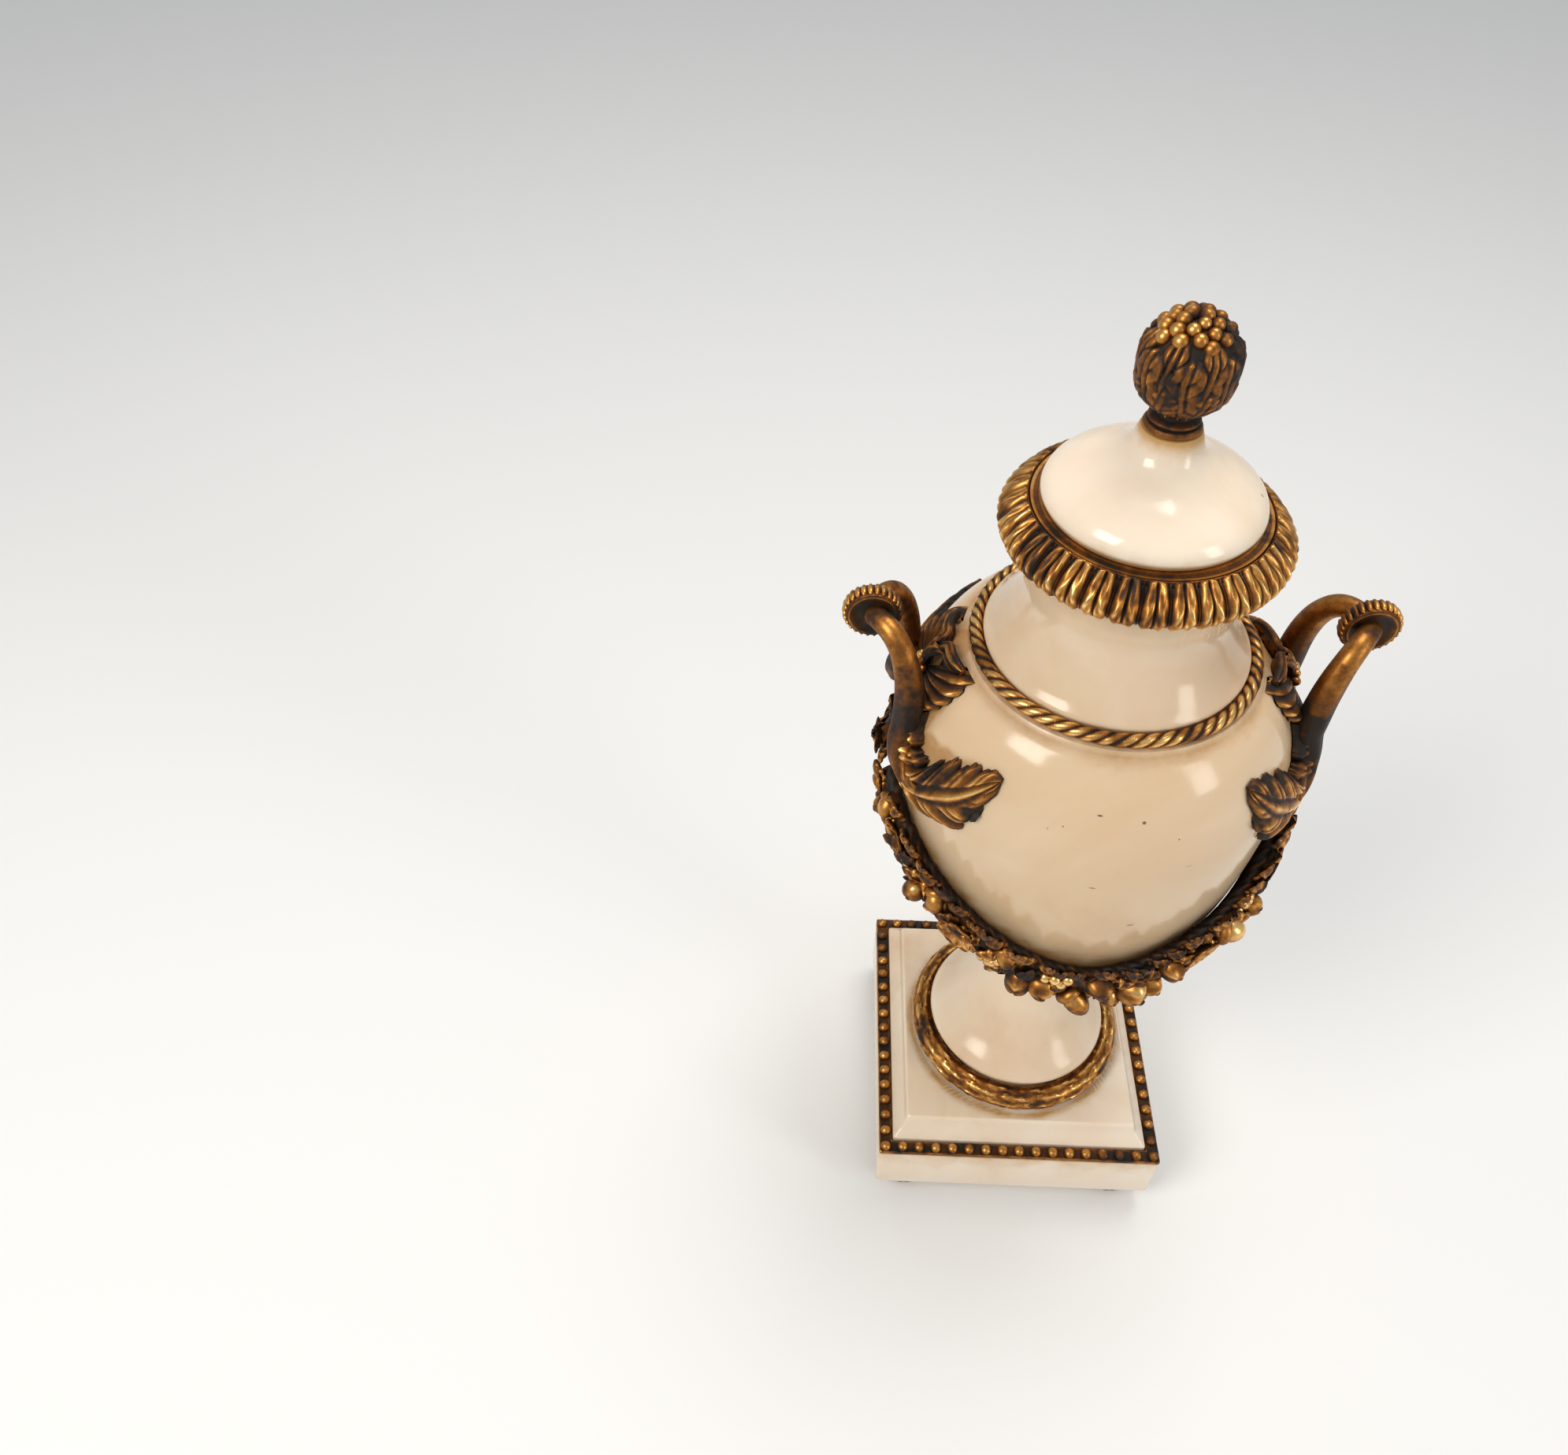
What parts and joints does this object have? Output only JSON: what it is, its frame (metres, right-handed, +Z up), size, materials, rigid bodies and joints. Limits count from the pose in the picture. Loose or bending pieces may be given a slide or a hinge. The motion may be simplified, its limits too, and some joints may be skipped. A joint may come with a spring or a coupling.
{
  "type": "mantel urn",
  "caption": "Covered mantel urn of white marble with gilt bronze handles, bows, garlands, leaf rim, rope and finial, standing on a square beaded plinth with bun feet.",
  "frame": {"origin": "middle of the plinth on the plane that the feet stand on", "axes": "+Z up, handles along X, main garland towards -Y"},
  "size_m": [0.161, 0.1295, 0.3741],
  "materials": {
    "marble": "polished",
    "ormolu": "burnished gilt with dark patina in the recesses"
  },
  "bodies": {
    "root": {"plinth_base": "marble", "plinth_step": "marble", "foot_marble": "marble", "body_marble": "marble", "neck_marble": "marble", "lid_marble": "marble", "foot_1": "ormolu", "foot_2": "ormolu", "foot_3": "ormolu", "foot_4": "ormolu", "bead_frame": "ormolu", "laurel_wreath": "ormolu", "rope_band": "ormolu", "rim_mount": "ormolu", "finial": "ormolu", "handle_left": "ormolu", "handle_right": "ormolu", "bow_left": "ormolu", "bow_right": "ormolu", "garland_front": "ormolu", "garland_back": "ormolu"}
  },
  "joints": []
}
